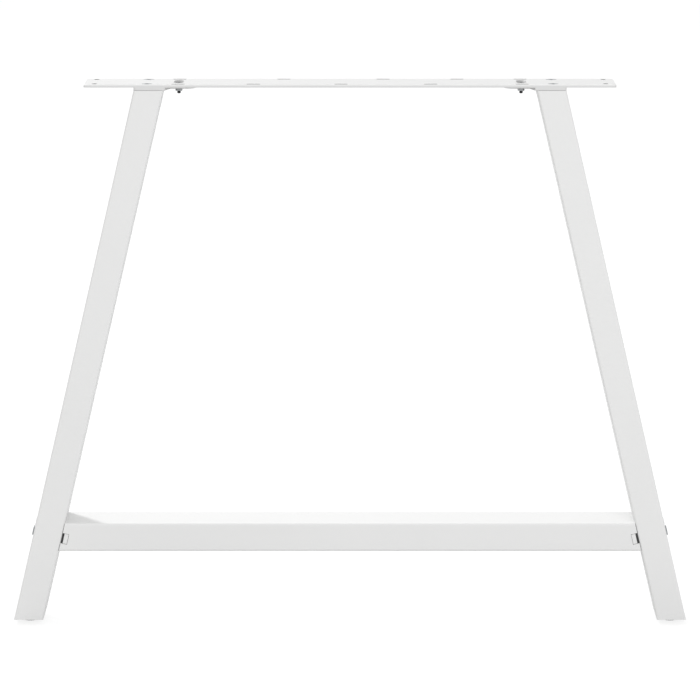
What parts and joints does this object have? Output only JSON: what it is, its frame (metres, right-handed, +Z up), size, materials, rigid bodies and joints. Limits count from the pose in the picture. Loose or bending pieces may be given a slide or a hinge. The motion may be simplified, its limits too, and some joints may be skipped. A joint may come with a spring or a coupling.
{
  "type": "trestle table leg",
  "caption": "Wide A-shaped steel table leg with a slotted top plate, two leaning tubes, a low cross bar and screw-in levelling feet.",
  "frame": {"origin": "on the floor, in the middle of the frame's bounding box, feet screwed fully in", "axes": "+X across the frame from foot to foot, +Y to the back through the tubes' depth, +Z up"},
  "size_m": [0.9, 0.076, 0.727],
  "materials": {
    "powder_coat": "satin white powder coat",
    "zinc": "bright zinc plate",
    "black_steel": "black zinc, satin",
    "black_coat": "black electrocoat",
    "foot_plastic": "moulded, fine grain"
  },
  "bodies": {
    "frame": {"top_plate": "powder_coat", "cross_bar": "powder_coat", "left_leg_tube": "powder_coat", "right_leg_tube": "powder_coat", "left_head_plate": "powder_coat", "right_head_plate": "powder_coat", "left_bar_end_plate": "black_coat", "right_bar_end_plate": "black_coat", "left_base_plate": "powder_coat", "right_base_plate": "powder_coat", "base_nuts": "zinc", "head_screws": "zinc", "head_weld_nuts": "zinc", "tongue_bolts": "black_steel", "tongue_nuts": "zinc", "bar_bolts": "zinc", "left_nut_bar": "powder_coat", "right_nut_bar": "powder_coat"},
    "left_foot": {"left_foot_pad": "foot_plastic", "left_foot_stem": "zinc"},
    "right_foot": {"right_foot_pad": "foot_plastic", "right_foot_stem": "zinc"}
  },
  "joints": [
    {"name": "left_foot_height", "type": "slide", "parent": "frame", "child": "left_foot", "axis": [0, 0, -1], "range_m": [0, 0.01]},
    {"name": "right_foot_height", "type": "slide", "parent": "frame", "child": "right_foot", "axis": [0, 0, -1], "range_m": [0, 0.01]}
  ]
}
